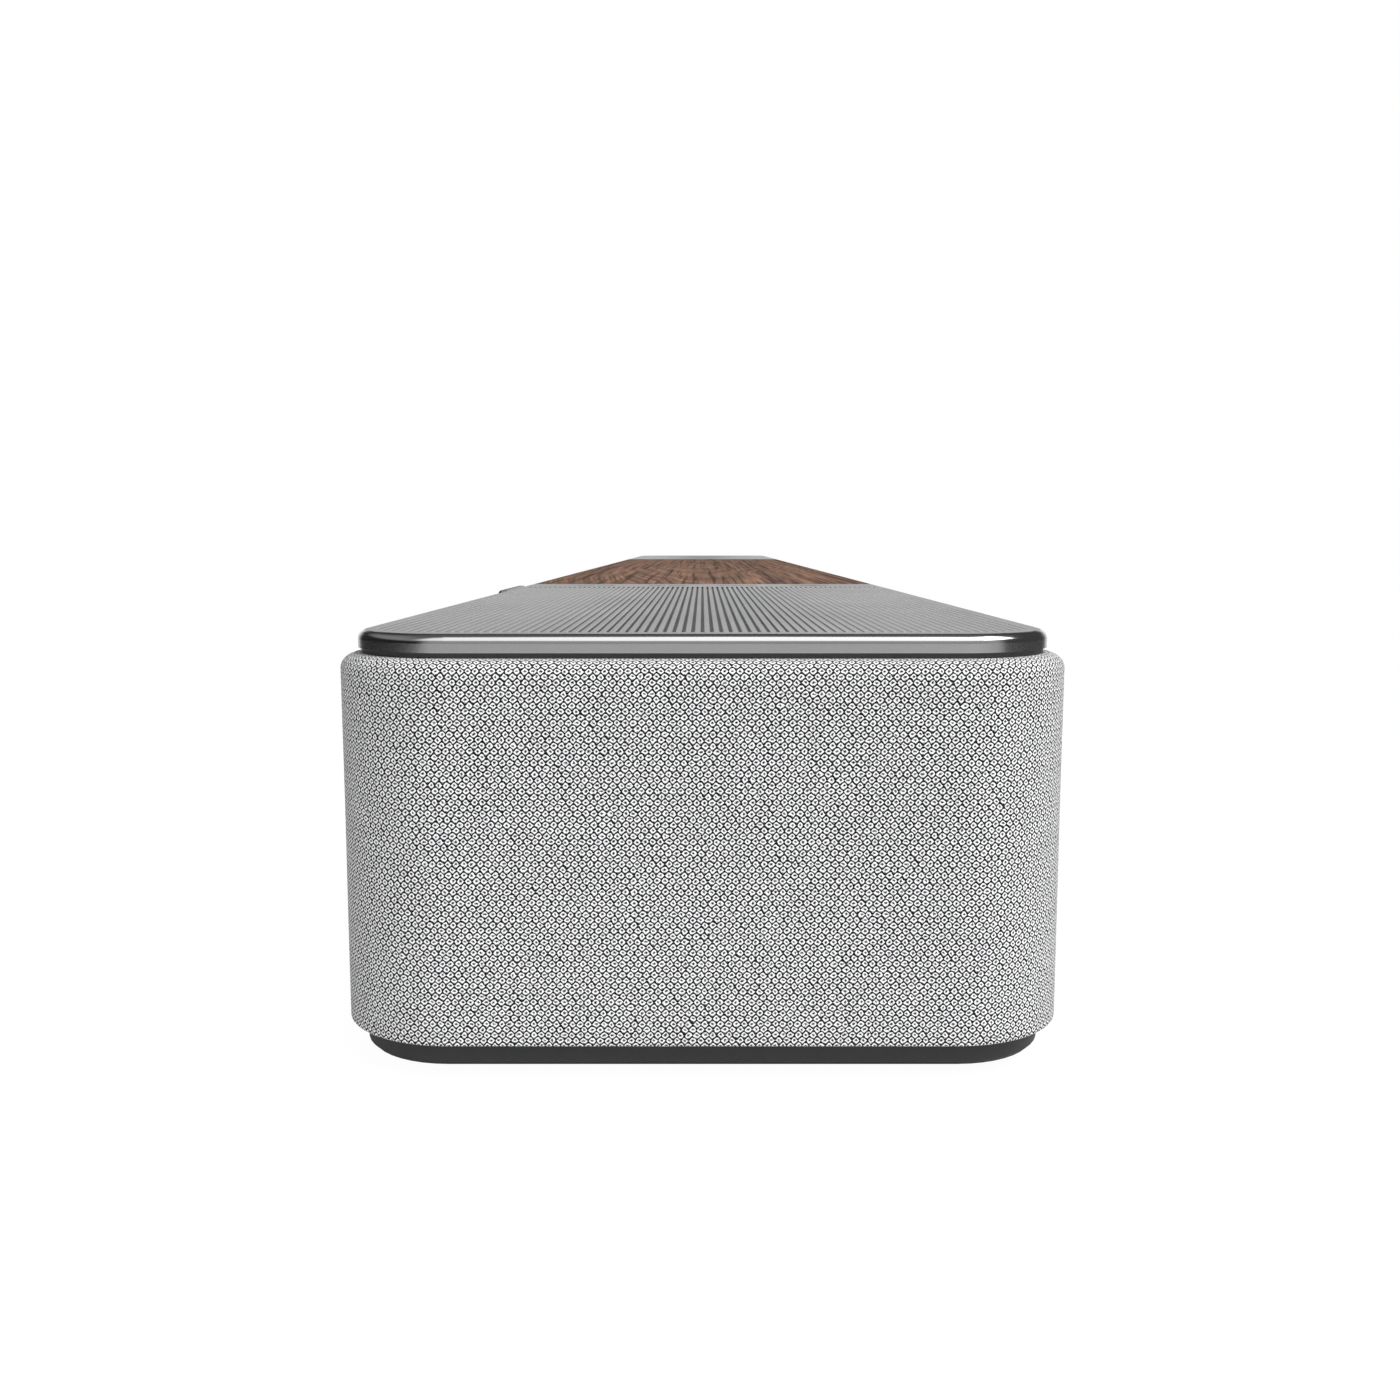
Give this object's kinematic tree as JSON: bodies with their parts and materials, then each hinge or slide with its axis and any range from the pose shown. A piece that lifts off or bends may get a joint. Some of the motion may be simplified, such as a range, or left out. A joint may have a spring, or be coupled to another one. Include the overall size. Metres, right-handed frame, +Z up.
{
  "type": "soundbar",
  "caption": "Long low soundbar: knitted cover wrapped round the cabinet, grooved metal end plates with press buttons, wooden centre panel, loudspeakers and electronics inside.",
  "frame": {"origin": "on the shelf under the middle of the bar", "axes": "+X along the bar towards the end with the buttons, -Y to the front that faces the listener, +Z up"},
  "size_m": [1.121, 0.125, 0.0743],
  "materials": {
    "fabric": "light grey knitted mesh",
    "plate_metal": "grey anodised, satin, polished edge",
    "button_metal": "grey anodised, satin",
    "badge_metal": "grey anodised, satin",
    "wood": "walnut veneer, matt lacquer",
    "adhesive": "double-sided tape",
    "base_plastic": "fine-textured moulding",
    "deck_plastic": "fine-textured moulding",
    "black_plastic": "fine-textured moulding",
    "feet_rubber": "matt",
    "soft_rubber": "satin",
    "circuit_board": "solder mask",
    "chip_plastic": "moulded",
    "socket_plastic": "moulded",
    "socket_metal": "nickel plated",
    "painted_basket": "powder coated",
    "magnet_steel": "zinc plated",
    "spider_cloth": "resin-treated cloth",
    "cone_paper": "pressed paper",
    "dome_film": "coated silk",
    "heatsink_metal": "extruded",
    "copper_winding": "enamelled winding and tape",
    "smoked_window": "smoked",
    "flat_cable": "flat cable",
    "wire_sleeve": "insulated wire",
    "brass": "turned",
    "screw_steel": "zinc plated"
  },
  "bodies": {
    "housing": {"base_tray": "base_plastic", "rubber_feet": "feet_rubber", "cabinet_shell": "black_plastic", "front_baffle": "black_plastic", "top_deck": "deck_plastic", "grille_frame_front": "black_plastic", "grille_frame_right": "black_plastic", "grille_frame_left": "black_plastic", "grille_fabric": "fabric", "end_plate_right": "plate_metal", "end_plate_left": "plate_metal", "wood_panel": "wood", "wood_adhesive": "adhesive", "badge": "badge_metal", "rear_panel": "black_plastic", "button_board": "circuit_board", "button_switches": "chip_plastic", "woofer_baskets": "painted_basket", "woofer_magnets": "magnet_steel", "woofer_surrounds": "soft_rubber", "woofer_spiders": "spider_cloth", "tweeter_housings": "black_plastic", "tweeter_magnets": "magnet_steel", "tweeter_surrounds": "soft_rubber", "driver_gaskets": "soft_rubber", "port_tubes": "black_plastic", "main_board": "circuit_board", "board_chips": "chip_plastic", "heatsink": "heatsink_metal", "power_supply_board": "circuit_board", "transformer": "copper_winding", "supply_capacitors": "chip_plastic", "power_inlet": "socket_plastic", "hdmi_sockets": "socket_metal", "optical_socket": "socket_plastic", "usb_socket": "socket_metal", "aux_jack": "socket_plastic", "display_board": "circuit_board", "display_window": "smoked_window", "infrared_receiver": "chip_plastic", "wireless_module": "socket_metal", "ribbon_cable": "flat_cable", "speaker_wires": "wire_sleeve", "wall_inserts": "brass", "case_screws": "screw_steel", "driver_screws": "screw_steel", "baffle_screws": "screw_steel", "board_screws": "screw_steel", "plate_screws": "screw_steel", "rear_panel_screws": "screw_steel"},
    "power_button": {"power_button": "button_metal"},
    "source_button": {"source_button": "button_metal"},
    "volume_down_button": {"volume_down_button": "button_metal"},
    "volume_up_button": {"volume_up_button": "button_metal"},
    "woofer_cone_far_left": {"woofer_cone_far_left": "cone_paper"},
    "woofer_cone_near_left": {"woofer_cone_near_left": "cone_paper"},
    "woofer_cone_near_right": {"woofer_cone_near_right": "cone_paper"},
    "woofer_cone_far_right": {"woofer_cone_far_right": "cone_paper"},
    "tweeter_dome_left": {"tweeter_dome_left": "dome_film"},
    "tweeter_dome_right": {"tweeter_dome_right": "dome_film"}
  },
  "joints": [
    {"name": "power_button_press", "type": "slide", "parent": "housing", "child": "power_button", "axis": [0, 0, -1], "range_m": [0, 0.0005], "stiffness_N_per_m": 3000},
    {"name": "source_button_press", "type": "slide", "parent": "housing", "child": "source_button", "axis": [0, 0, -1], "range_m": [0, 0.0005], "stiffness_N_per_m": 3000},
    {"name": "volume_down_button_press", "type": "slide", "parent": "housing", "child": "volume_down_button", "axis": [0, 0, -1], "range_m": [0, 0.0005], "stiffness_N_per_m": 3000},
    {"name": "volume_up_button_press", "type": "slide", "parent": "housing", "child": "volume_up_button", "axis": [0, 0, -1], "range_m": [0, 0.0005], "stiffness_N_per_m": 3000},
    {"name": "woofer_cone_far_left_travel", "type": "slide", "parent": "housing", "child": "woofer_cone_far_left", "axis": [0, -1, 0], "range_m": [-0.0025, 0.0025], "stiffness_N_per_m": 1000},
    {"name": "woofer_cone_near_left_travel", "type": "slide", "parent": "housing", "child": "woofer_cone_near_left", "axis": [0, -1, 0], "range_m": [-0.0025, 0.0025], "stiffness_N_per_m": 1000},
    {"name": "woofer_cone_near_right_travel", "type": "slide", "parent": "housing", "child": "woofer_cone_near_right", "axis": [0, -1, 0], "range_m": [-0.0025, 0.0025], "stiffness_N_per_m": 1000},
    {"name": "woofer_cone_far_right_travel", "type": "slide", "parent": "housing", "child": "woofer_cone_far_right", "axis": [0, -1, 0], "range_m": [-0.0025, 0.0025], "stiffness_N_per_m": 1000},
    {"name": "tweeter_dome_left_travel", "type": "slide", "parent": "housing", "child": "tweeter_dome_left", "axis": [0, -1, 0], "range_m": [-0.0003, 0.0003], "stiffness_N_per_m": 400},
    {"name": "tweeter_dome_right_travel", "type": "slide", "parent": "housing", "child": "tweeter_dome_right", "axis": [0, -1, 0], "range_m": [-0.0003, 0.0003], "stiffness_N_per_m": 400}
  ]
}
